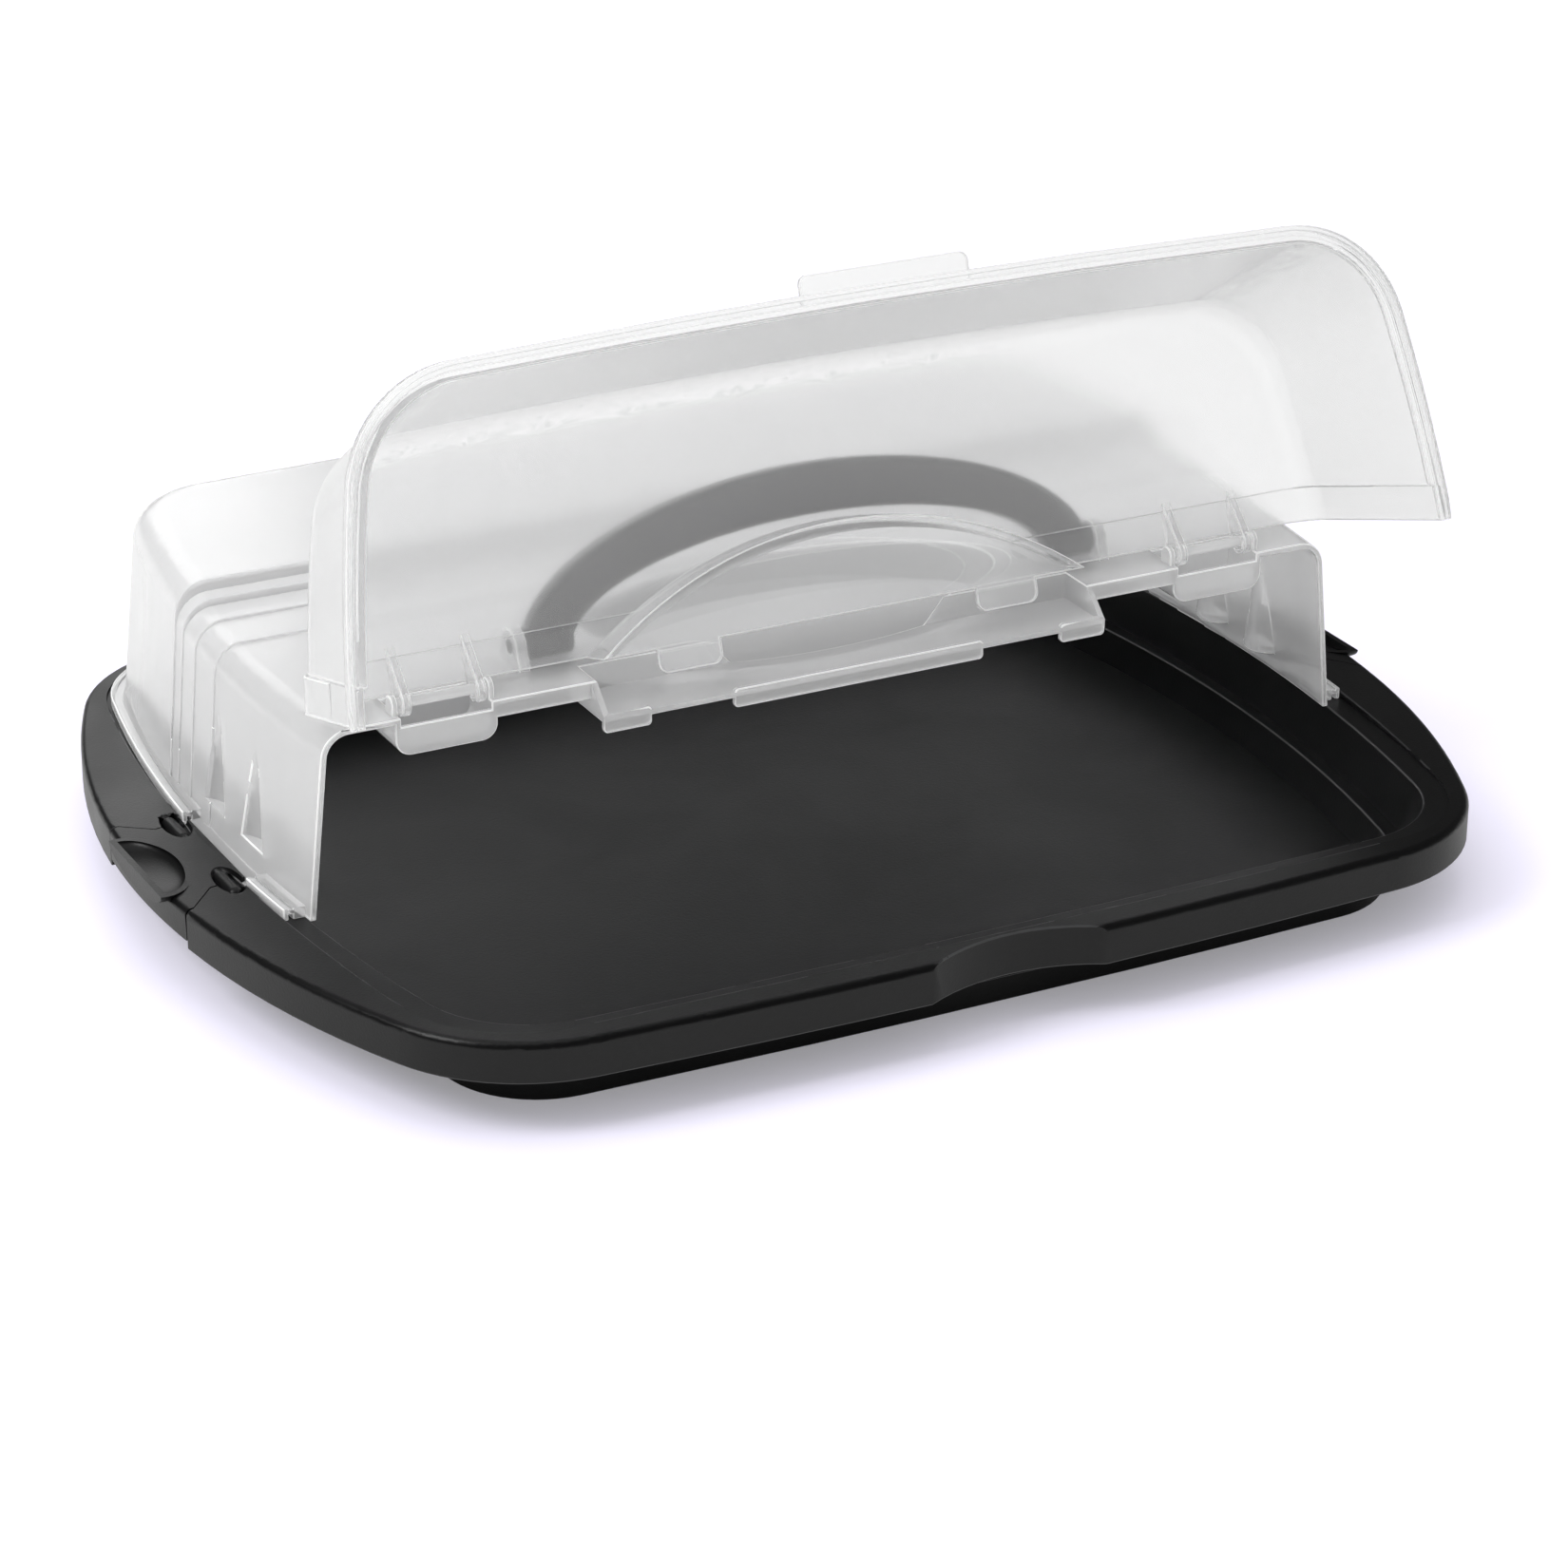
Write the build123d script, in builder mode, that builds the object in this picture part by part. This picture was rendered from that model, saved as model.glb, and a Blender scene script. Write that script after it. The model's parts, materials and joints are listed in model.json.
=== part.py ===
from build123d import *
from math import atan2, cos, degrees, radians, sin
import os

# Cake carrier with a hinged lid, in millimetres. The base stands on Z = 0 and X runs along its
# length. The front, where the lid opens, is towards -Y.

# Plan of the base's rim: four bowed sides and rounded corners
rim_half_length = 225.0
rim_half_depth = 176.0
rim_side_bow = 47.5
rim_end_bow = 6.0
rim_corner = 59.0

# Base
rim_top = 34.4
rim_slope = 2.4
skirt_bottom = 18.5
rim_round = 2.6
base_wall = 2.4
seat_drop = 2.6
seat_side_margin = 23.5
seat_front_margin = 10.0
seat_side_bow = 20.0
seat_end_bow = 3.5
seat_corner = 42.0
seat_ledge = 8.0
seat_front_ledge = 5.5
well_mid_height = 15.0
well_mid_ledge = 5.0
well_upper_lean = 4.0
well_lower_lean = 2.5
floor_top = 3.2
foot_height = 1.0
foot_width = 12.0
rim_rib_thickness = 1.6
rim_rib_spacing = 44.0
rim_rib_count = 7
grip_radius = 67.0
grip_depth = 8.0

# Hood, as one shape before it is divided into the fixed rear part and the lid
hood_wall = 2.0
hood_top = 104.0
hood_round = 12.0
hood_corner = 36.0
hood_side_bow = 20.0
hood_end_bow = 3.5
hood_side_lean = 6.0
hood_front_lean = 20.0
hood_back_lean = 6.0
hood_lean_corner = 3.0
flange_clearance = 0.8
flange_front_clearance = 2.8
flange_width = 4.3
flange_height = 4.0
flange_rib = 1.7
flange_groove = 1.4
flange_groove_depth = 2.0
flange_line_depth = 0.6

# Steps of the rear part's roof, from the back to the front: where each one ends, how far its
# walls stand in, and how far its top is dropped
split_y = -56.0
tuck = 3.5
steps = [(57.0, 0.0, 0.0), (50.0, 0.7, 4.4), (38.0, 1.3, 7.0), (20.0, 1.9, 8.0),
         (split_y - tuck, 2.5, 9.0)]
step_round = 0.5

# Hinge of the lid
hinge_setback = 2.0
hinge_drop = 6.0
lid_open_angle = 107.8
bar_radius = 1.8
bar_clearance = 0.08
cheek_radius = 3.0
cheek_thickness = 2.0
pocket_inner = 127.0
pocket_width = 31.0
pocket_depth = 11.0
pocket_run = 12.0
pocket_front_height = 8.0
pocket_corner = 3.5
hook_radius = 4.6
hook_thickness = 3.0
hook_gap = 1.2
hook_reach = 17.0
hook_slot = 3.2
hook_tangent = 35.0
deck_lip = 6.0

# Front lip of the rear part, under the lid's roof recess, with its hanging tabs
shelf_margin = 3.5
shelf_reach = 13.0
shelf_drop = 9.0
shelf_run = 10.0
lip_tab_height = 4.5
lip_tab_half = 46.0
lip_end_tab = 17.0
lip_tab_corner = 1.6

# Finger bowl below the folded handle
bowl_half_length = 76.0
bowl_half_depth = 34.0
bowl_setback = 38.0
bowl_depth = 13.0
bowl_lean = 3.0

# Pairs of tapered flutes in each side wall of the rear part
flute_radius = 9.5
flute_offset = 3.2
flute_y = 15.8
flute_rise = 10.0
flute_drop = 12.0

# Lid
lid_band = 12.0
lid_band_rise = 1.2
lid_lift = 0.3
lid_flange_clearance = 0.5
lid_flange_relief = 4.6
recess_half = 87.0
recess_rise = 28.5
recess_depth = 12.5
recess_lean = 2.2
tongue_inner = 47.0
tongue_width = 23.0
tongue_reach = 8.0
tongue_corner = 3.5
pull_half = 30.0
pull_reach = 6.0
pull_thickness = 2.0
pull_corner = 3.0

# Handle
handle_setback = 22.0
handle_pivot_height = 6.0
handle_half_span = 105.0
handle_rise = 42.0
handle_width = 16.0
handle_crown = 17.0
handle_thickness = 9.5
handle_foot_drop = 4.0
handle_eye = 5.5
handle_round = 2.5
handle_lean = 15.0
handle_pin_radius = 2.5
handle_pin_clearance = 0.08
handle_gap = 0.8
lug_thickness = 4.0
lug_radius = 6.0
lug_foot = 9.0

# Latch clips in the short sides of the rim: a neck that widens to the outer edge
clip_half = 34.0
clip_neck_half = 24.5
clip_bend_inset = 14.0
clip_edge_inset = 4.8
clip_gap = 0.6
clip_thickness = 3.0
clip_skirt_bottom = 21.0
clip_pin_radius = 2.7
clip_pin_clearance = 0.1
clip_pin_gap = 2.9
clip_pin_drop = 3.0
clip_pin_inner = 14.0
clip_pin_outer = 32.0
clip_barrel_radius = 2.4
clip_block_half = 3.7
clip_block_bottom = 4.4
clip_nose_reach = 2.7
clip_nose_lift = 0.3
clip_flange_half = 28.0
clip_flange_height = 0.8
clip_scoop_y = 23.5
clip_scoop_width = 4.6
clip_scoop_length = 10.8
clip_scoop_depth = 4.6
clip_scoop_lift = 0.8
thumb_half = 22.0
thumb_depth = 12.5
thumb_sink = 4.2
thumb_rise = 0.9
thumb_lip = 2.2
thumb_bulge = 2.3

# Values that follow from these
rim_edge = rim_top - rim_slope
seat_z = rim_top - seat_drop
seat_half_length = rim_half_length - seat_side_margin
seat_half_depth = rim_half_depth - seat_front_margin
well_half_length = seat_half_length - seat_ledge
well_half_depth = seat_half_depth - seat_front_ledge
flange_half_length = seat_half_length - flange_clearance
flange_half_depth = seat_half_depth - flange_front_clearance
flange_top = seat_z + flange_height
clip_flange_top = seat_z + clip_flange_height
hinge_y = split_y + hinge_setback
hinge_z = hood_top - hinge_drop
deck_top = hood_top - steps[-1][2]
pocket_back = hinge_y + pocket_run
shelf_half = recess_half + shelf_margin
shelf_front = split_y - shelf_reach
shelf_back = split_y + shelf_run
shelf_top = deck_top - shelf_drop
bowl_y = split_y + bowl_setback
bowl_floor = deck_top - bowl_depth
flute_bottom = seat_z + flute_rise
flute_top = deck_top - flute_drop
recess_floor = hood_top - recess_depth
handle_y = split_y + handle_setback
handle_pivot_z = deck_top + handle_pivot_height
clip_pin_x = seat_half_length + clip_pin_gap
clip_pin_z = rim_top - clip_pin_drop
thumb_z = rim_edge + thumb_rise
reach = 2 * (rim_half_length + rim_half_depth)
cut_margin = 1.0
edge_search = 0.01

os.makedirs("parts", exist_ok=True)


def outline(half_length, half_depth, side_bow, end_bow, corner):
    """Closed plan with four bowed sides: the bows are measured at the sides' meeting points."""
    corner_x = half_length - side_bow
    corner_y = half_depth - end_bow
    with BuildSketch() as plan:
        with BuildLine():
            ThreePointArc((corner_x, -corner_y), (half_length, 0), (corner_x, corner_y))
            ThreePointArc((corner_x, corner_y), (0, half_depth), (-corner_x, corner_y))
            ThreePointArc((-corner_x, corner_y), (-half_length, 0), (-corner_x, -corner_y))
            ThreePointArc((-corner_x, -corner_y), (0, -half_depth), (corner_x, -corner_y))
        make_face()
        fillet(plan.vertices(), corner)
    return plan.sketch


def rim_plan(inset):
    """The rim's plan, moved in by inset."""
    return outline(rim_half_length - inset, rim_half_depth - inset, rim_side_bow, rim_end_bow,
                   rim_corner - inset)


def rim_body(inset, drop, bottom):
    """The rim's outside as a solid: an upright skirt and a top that slopes up to the seat."""
    with BuildPart() as body:
        with BuildSketch(Plane.XY.offset(bottom)):
            add(rim_plan(inset))
        extrude(amount=rim_edge - drop - bottom)
        with BuildSketch(Plane.XY.offset(rim_edge - drop)):
            add(rim_plan(inset))
        with BuildSketch(Plane.XY.offset(rim_top - drop)):
            add(rim_plan(seat_side_margin))
        loft()
        outer_top = body.edges().filter_by_position(Axis.Z, rim_edge - drop - edge_search,
                                                    rim_edge - drop + edge_search)
        fillet(outer_top, rim_round - inset / 2)
    return body.part


def seat_plan(inset):
    """The inner edge of the rim, where the hood's flange drops in, moved in by inset."""
    return outline(seat_half_length - inset, seat_half_depth - inset, seat_side_bow, seat_end_bow,
                   seat_corner - inset / 2)


def well_plan(inset):
    """The upper edge of the well, inside the seat, moved in by inset."""
    return outline(well_half_length - inset, well_half_depth - inset, seat_side_bow, seat_end_bow,
                   seat_corner - (seat_ledge + inset) / 2)


def flange_plan(inset):
    """The outer edge of the hood's flange on the seat, moved in by inset."""
    return outline(flange_half_length - inset, flange_half_depth - inset, seat_side_bow,
                   seat_end_bow, seat_corner - inset / 2)


def flange_ring(bottom, y_front, y_back, inset):
    """The flange as a solid on its plan: hollow below between its two feet, with a line on top."""
    with BuildPart() as ring:
        with BuildSketch(Plane.XY.offset(bottom)):
            add(flange_plan(inset))
        extrude(amount=flange_top - bottom)
        with BuildSketch(Plane.XY.offset(bottom)):
            add(flange_plan(inset + flange_rib))
            add(flange_plan(inset + flange_rib + flange_groove), mode=Mode.SUBTRACT)
        extrude(amount=flange_groove_depth, mode=Mode.SUBTRACT)
        with BuildSketch(Plane.XY.offset(flange_top - flange_line_depth)):
            add(flange_plan(inset + flange_rib))
            add(flange_plan(inset + flange_rib + flange_groove), mode=Mode.SUBTRACT)
        extrude(amount=flange_line_depth, mode=Mode.SUBTRACT)
        add(slab(y_front, y_back), mode=Mode.INTERSECT)
    return ring.part


def hood_plan(inset, side_lean, depth_lean, lean_corner):
    """The hood wall's plan at one height, moved in by inset and by the lean of its walls."""
    edge = flange_width + inset
    return outline(flange_half_length - edge - side_lean, flange_half_depth - edge - depth_lean,
                   hood_side_bow, hood_end_bow, hood_corner - lean_corner)


def slab(y_front, y_back):
    """A block over the whole length between two Y positions, for cutting the hood into stretches."""
    with BuildPart() as block:
        with Locations((0, (y_front + y_back) / 2, hood_top)):
            Box(reach, y_back - y_front, reach)
    return block.part


def canopy(inset, drop, y_front, y_back, front_round=0.0):
    """The hood's body as a solid: leaning walls, rounded roof edge, cut to a stretch of Y."""
    with BuildPart() as body:
        with BuildSketch(Plane.XY.offset(seat_z)):
            add(hood_plan(inset, 0, 0, 0))
        with BuildSketch(Plane((0, (hood_front_lean - hood_back_lean) / 2, hood_top + lid_band_rise))):
            add(hood_plan(inset, hood_side_lean, (hood_front_lean + hood_back_lean) / 2,
                          hood_lean_corner))
        loft()
        split(bisect_by=Plane.XY.offset(hood_top - drop), keep=Keep.BOTTOM)
        fillet(body.faces().sort_by(Axis.Z)[-1].edges(), hood_round - inset)
        add(slab(y_front, y_back), mode=Mode.INTERSECT)
        if front_round:
            front = body.faces().sort_by(Axis.Y)[0]
            fillet(front.edges().sort_by(Axis.Z)[1:], front_round)
    return body.part


def cone_flutes(growth):
    """The flutes in both side walls, as tapered pins, with growth added to their radius."""
    axis_x = flange_half_length - flange_width - steps[-1][1] + flute_offset
    height = flute_top - flute_bottom
    wall_lean = hood_side_lean * height / (hood_top - seat_z)
    lean_angle = degrees(atan2(wall_lean + flute_offset, height))
    with BuildPart() as flutes:
        with Locations(*[Location((side * axis_x, y, flute_bottom - growth),
                                  (0, -side * lean_angle, 0))
                         for side in (-1, 1) for y in (-flute_y, flute_y)]):
            Cone(flute_radius + growth, growth / 2, height + 2 * growth,
                 align=(Align.CENTER, Align.CENTER, Align.MIN))
    return flutes.part


def grip_disc(growth):
    """The round of the front grip recess."""
    y = -rim_half_depth + grip_depth - grip_radius
    with BuildSketch() as disc:
        with Locations((0, y)):
            Circle(grip_radius + growth)
    return disc.sketch


def clip_plan(side, inner_x, growth):
    """Plan of a latch clip, grown by growth: its neck, and the part that widens to the rim's edge."""
    bend_x = rim_half_length - clip_bend_inset
    edge_x = rim_half_length - clip_edge_inset
    outer_x = rim_half_length + thumb_bulge + cut_margin
    upper = [(inner_x, clip_neck_half + growth), (bend_x, clip_neck_half + growth),
             (edge_x, clip_half + growth), (outer_x, clip_half + growth)]
    lower = [(x, -y) for x, y in reversed(upper)]
    with BuildSketch() as plan:
        with BuildLine():
            Polyline(*[(side * x, y) for x, y in upper + lower], close=True)
        make_face()
    return plan.sketch


def clip_scoops(side):
    """Hollows over the ends of a clip's pin, half in the clip and half in the rim."""
    with BuildPart() as hollow:
        Sphere(1)
    sizes = (clip_scoop_width, clip_scoop_length, clip_scoop_depth)
    sized = scale(hollow.part, by=sizes, mode=Mode.PRIVATE)
    with BuildPart() as scoops:
        for y in (-clip_scoop_y, clip_scoop_y):
            add(sized.moved(Location((side * clip_pin_x, y, rim_top + clip_scoop_lift))))
    return scoops.part


def mirrored(values):
    """Positions on both sides of the middle."""
    return [-value for value in values] + list(values)


# Base -------------------------------------------------------------------------------------------

with BuildPart() as tray:
    add(rim_body(0, 0, skirt_bottom))

    # Hollow under the rim: lower under the seat, higher under the rim's top
    with BuildPart(mode=Mode.PRIVATE) as rim_hollow:
        add(rim_body(base_wall, base_wall, skirt_bottom))
        with BuildSketch(Plane.XY.offset(seat_z - base_wall)):
            add(seat_plan(-base_wall))
        extrude(amount=rim_top, mode=Mode.SUBTRACT)
        with BuildSketch(Plane.XY.offset(skirt_bottom)):
            add(grip_disc(base_wall))
        extrude(amount=rim_top, mode=Mode.SUBTRACT)
    add(rim_hollow.part, mode=Mode.SUBTRACT)

    # Ribs between the skirt and the well, across both long sides
    rib_xs = [(i - (rim_rib_count - 1) / 2) * rim_rib_spacing for i in range(rim_rib_count)]
    with BuildSketch(Plane.XY.offset(skirt_bottom + base_wall)):
        add(rim_plan(base_wall / 2))
        with Locations(*[(x, 0) for x in rib_xs]):
            Rectangle(rim_rib_thickness, reach, mode=Mode.INTERSECT)
        add(well_plan(0), mode=Mode.SUBTRACT)
        add(grip_disc(0), mode=Mode.SUBTRACT)
    extrude(amount=seat_z - skirt_bottom - base_wall - cut_margin)

    # Outside of the well
    with BuildSketch(Plane.XY.offset(well_mid_height - base_wall)):
        add(well_plan(well_upper_lean - base_wall))
    with BuildSketch(Plane.XY.offset(seat_z - cut_margin)):
        add(well_plan(-base_wall))
    loft()
    lower_top = well_upper_lean + well_mid_ledge
    with BuildSketch():
        add(well_plan(lower_top + well_lower_lean - base_wall))
    with BuildSketch(Plane.XY.offset(well_mid_height)):
        add(well_plan(lower_top - base_wall))
    loft()

    # Seat of the hood's flange, and the two stages of the well
    with BuildSketch(Plane.XY.offset(seat_z)):
        add(seat_plan(0))
    extrude(amount=rim_top, mode=Mode.SUBTRACT)
    with BuildSketch(Plane.XY.offset(well_mid_height)):
        add(well_plan(well_upper_lean))
    with BuildSketch(Plane.XY.offset(seat_z)):
        add(well_plan(0))
    loft(mode=Mode.SUBTRACT)
    with BuildSketch(Plane.XY.offset(floor_top)):
        add(well_plan(lower_top + well_lower_lean))
    with BuildSketch(Plane.XY.offset(well_mid_height)):
        add(well_plan(lower_top))
    loft(mode=Mode.SUBTRACT)

    # Standing ring under the floor
    with BuildSketch():
        add(well_plan(lower_top + well_lower_lean + foot_width))
    extrude(amount=foot_height, mode=Mode.SUBTRACT)

    # Front grip recess
    with BuildSketch(Plane.XY.offset(skirt_bottom)):
        add(grip_disc(0))
    extrude(amount=rim_top, mode=Mode.SUBTRACT)

    # Notches of the latch clips, open below, with bearing blocks for the clips' pins
    block_bottom = clip_pin_z - clip_block_bottom
    block_length = clip_pin_outer + base_wall - clip_neck_half
    for side in (-1, 1):
        with Locations((side * clip_pin_x, -clip_neck_half - block_length / 2, block_bottom),
                       (side * clip_pin_x, clip_neck_half + block_length / 2, block_bottom)):
            Box(2 * clip_block_half, block_length, rim_top - base_wall / 2 - block_bottom,
                align=(Align.CENTER, Align.CENTER, Align.MIN))
        with BuildSketch(Plane.XY.offset(skirt_bottom)):
            add(clip_plan(side, seat_half_length, clip_gap))
        extrude(amount=rim_top, mode=Mode.SUBTRACT)
        with Locations((side * seat_half_length, 0, seat_z)):
            Box(2 * cut_margin, 2 * (clip_neck_half + clip_gap), seat_drop + cut_margin,
                align=(Align.CENTER, Align.CENTER, Align.MIN), mode=Mode.SUBTRACT)
        pin_slot = clip_pin_outer + clip_gap
        with Locations((side * clip_pin_x, 0, clip_pin_z)):
            Cylinder(clip_pin_radius + clip_pin_clearance, 2 * pin_slot,
                     rotation=(90, 0, 0), mode=Mode.SUBTRACT)
            Box(2 * (clip_pin_radius + clip_pin_clearance), 2 * pin_slot,
                rim_top - clip_pin_z + cut_margin,
                align=(Align.CENTER, Align.CENTER, Align.MIN), mode=Mode.SUBTRACT)
        add(clip_scoops(side), mode=Mode.SUBTRACT)

tray.part.label = "tray"
export_step(tray.part, "parts/tray.step")

# Rear part of the hood ---------------------------------------------------------------------------

pocket_x = pocket_inner + pocket_width / 2
pocket_floor = deck_top - pocket_depth
rear_front = split_y - tuck
flange_front = split_y + lid_lift
rear_back = rim_half_depth

with BuildPart() as rear_cavity:
    # Inside of the walls and roof, step by step
    stretch_back = rear_back
    for step_y, step_inset, step_drop in steps:
        stretch_front = step_y + hood_wall if step_y > rear_front else step_y - cut_margin
        add(canopy(step_inset + hood_wall, step_drop + hood_wall, stretch_front, stretch_back))
        stretch_back = stretch_front
    # Left solid inside: downturned lip of the deck, pocket boxes, bowl, shelf and flutes
    with Locations((0, rear_front, deck_top)):
        Box(2 * (pocket_x + pocket_width / 2 + hood_wall), 2 * hood_wall, 2 * deck_lip,
            mode=Mode.SUBTRACT)
    with BuildSketch(Plane.XZ.offset(-(pocket_back + hood_wall))):
        with Locations((-pocket_x, deck_top), (pocket_x, deck_top)):
            RectangleRounded(pocket_width + 2 * hood_wall, 2 * (pocket_depth + hood_wall),
                             pocket_corner + hood_wall)
    extrude(amount=pocket_back + hood_wall - rear_front, mode=Mode.SUBTRACT)
    with BuildSketch(Plane.XY.offset(bowl_floor - hood_wall)):
        with Locations((0, bowl_y)):
            Ellipse(bowl_half_length + hood_wall, bowl_half_depth + hood_wall)
    extrude(amount=deck_top - bowl_floor + hood_wall, mode=Mode.SUBTRACT)
    with BuildSketch(Plane.XY.offset(shelf_top - hood_wall)):
        with Locations((0, (rear_front + shelf_back) / 2)):
            Rectangle(2 * (shelf_half + hood_wall), shelf_back - rear_front + 4 * hood_wall)
    extrude(amount=deck_top - shelf_top + hood_wall, mode=Mode.SUBTRACT)
    add(cone_flutes(hood_wall), mode=Mode.SUBTRACT)

with BuildPart() as rear_hood:
    stretch_back = rear_back
    for step_y, step_inset, step_drop in steps:
        corner_round = step_round if step_y > rear_front else 0
        add(canopy(step_inset, step_drop, step_y, stretch_back, corner_round))
        stretch_back = step_y

    # Flange on the seat, with low stretches under the latch clips
    with BuildPart(mode=Mode.PRIVATE) as flange:
        add(flange_ring(seat_z, flange_front, rear_back, 0))
        Box(reach, 2 * clip_flange_half, 2 * reach, mode=Mode.SUBTRACT)
    add(flange.part)
    with BuildPart(mode=Mode.PRIVATE) as low_flange:
        with BuildSketch(Plane.XY.offset(seat_z)):
            add(flange_plan(0))
        extrude(amount=clip_flange_height)
        Box(reach, 2 * clip_flange_half, 2 * reach, mode=Mode.INTERSECT)
    add(low_flange.part)
    add(rear_cavity.part, mode=Mode.SUBTRACT)

    # Finger bowl
    with BuildSketch(Plane.XY.offset(bowl_floor)):
        with Locations((0, bowl_y)):
            Ellipse(bowl_half_length - bowl_lean, bowl_half_depth - bowl_lean)
    with BuildSketch(Plane.XY.offset(deck_top)):
        with Locations((0, bowl_y)):
            Ellipse(bowl_half_length, bowl_half_depth)
    loft(mode=Mode.SUBTRACT)

    # Shelf under the lid's recess: cut down from the deck, drawn out to a lip with tabs
    with Locations((0, shelf_back, shelf_top)):
        Box(2 * shelf_half, shelf_back - rear_front + cut_margin, reach,
            align=(Align.CENTER, Align.MAX, Align.MIN), mode=Mode.SUBTRACT)
    lip_length = rear_front - shelf_front
    with Locations((0, shelf_front, shelf_top)):
        Box(2 * (shelf_half + hood_wall), lip_length, hood_wall,
            align=(Align.CENTER, Align.MIN, Align.MAX))
    end_tab_x = shelf_half + hood_wall - lip_end_tab / 2
    with BuildSketch(Plane.XZ.offset(-shelf_front)):
        with Locations((0, shelf_top - lip_tab_height / 2)):
            RectangleRounded(2 * lip_tab_half, lip_tab_height + hood_wall, lip_tab_corner)
        with Locations((-end_tab_x, shelf_top - lip_tab_height / 2),
                       (end_tab_x, shelf_top - lip_tab_height / 2)):
            RectangleRounded(lip_end_tab, lip_tab_height + hood_wall, lip_tab_corner)
    extrude(amount=-hood_wall)
    for x in mirrored([shelf_half + hood_wall / 2]):
        with BuildSketch(Plane.YZ.offset(x)):
            with BuildLine():
                Polyline((shelf_front, shelf_top - hood_wall), (rear_front, shelf_top - hood_wall),
                         (rear_front, deck_top), (shelf_front, shelf_top), close=True)
            make_face()
        extrude(amount=hood_wall / 2, both=True)

    # Hinge pockets, their cheeks and the bars that the lid's hooks snap on
    for x in mirrored([pocket_x]):
        with BuildSketch(Plane.XZ.offset(-pocket_back)):
            with Locations((x, deck_top)):
                RectangleRounded(pocket_width, 2 * pocket_depth, pocket_corner)
        extrude(amount=pocket_back - rear_front - hood_wall, mode=Mode.SUBTRACT)
        with Locations((x, rear_front, pocket_floor + pocket_front_height)):
            Box(pocket_width, 3 * hood_wall, reach,
                align=(Align.CENTER, Align.CENTER, Align.MIN), mode=Mode.SUBTRACT)
        with Locations((x, hinge_y, hinge_z)):
            Cylinder(bar_radius, pocket_width + 2 * cheek_thickness, rotation=(0, 90, 0))
        cheek_x = (pocket_width + cheek_thickness) / 2
        with Locations((x - cheek_x, hinge_y, hinge_z), (x + cheek_x, hinge_y, hinge_z)):
            Cylinder(cheek_radius, cheek_thickness, rotation=(0, 90, 0))
            Box(cheek_thickness, 2 * cheek_radius, hinge_z - deck_top + hood_wall,
                align=(Align.CENTER, Align.CENTER, Align.MAX))

    # Lugs of the handle
    lug_x = handle_half_span + handle_gap + lug_thickness / 2
    for x in mirrored([lug_x]):
        with BuildSketch(Plane.YZ.offset(x)):
            with Locations((handle_y, handle_pivot_z)):
                Circle(lug_radius)
            with BuildLine():
                Polyline((handle_y - lug_foot, deck_top - hood_wall / 2),
                         (handle_y + lug_foot, deck_top - hood_wall / 2),
                         (handle_y + lug_radius, handle_pivot_z),
                         (handle_y - lug_radius, handle_pivot_z), close=True)
            make_face()
            with Locations((handle_y, handle_pivot_z)):
                Circle(handle_pin_radius + handle_pin_clearance, mode=Mode.SUBTRACT)
        extrude(amount=lug_thickness / 2, both=True)

    add(cone_flutes(0), mode=Mode.SUBTRACT)

rear_hood.part.label = "rear_hood"
export_step(rear_hood.part, "parts/rear_hood.step")

# Lid, made closed and then swung open --------------------------------------------------------------

band_front = split_y - lid_band
lid_front = -rim_half_depth


def recess_plan(growth):
    """The D of the roof recess: a chord on the hinge side and an arc towards the front."""
    half = recess_half + growth
    with BuildSketch() as plan:
        with BuildLine():
            ThreePointArc((-half, split_y), (0, split_y - recess_rise - growth), (half, split_y))
            Line((half, split_y), (-half, split_y))
        make_face()
    return plan.sketch


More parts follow.
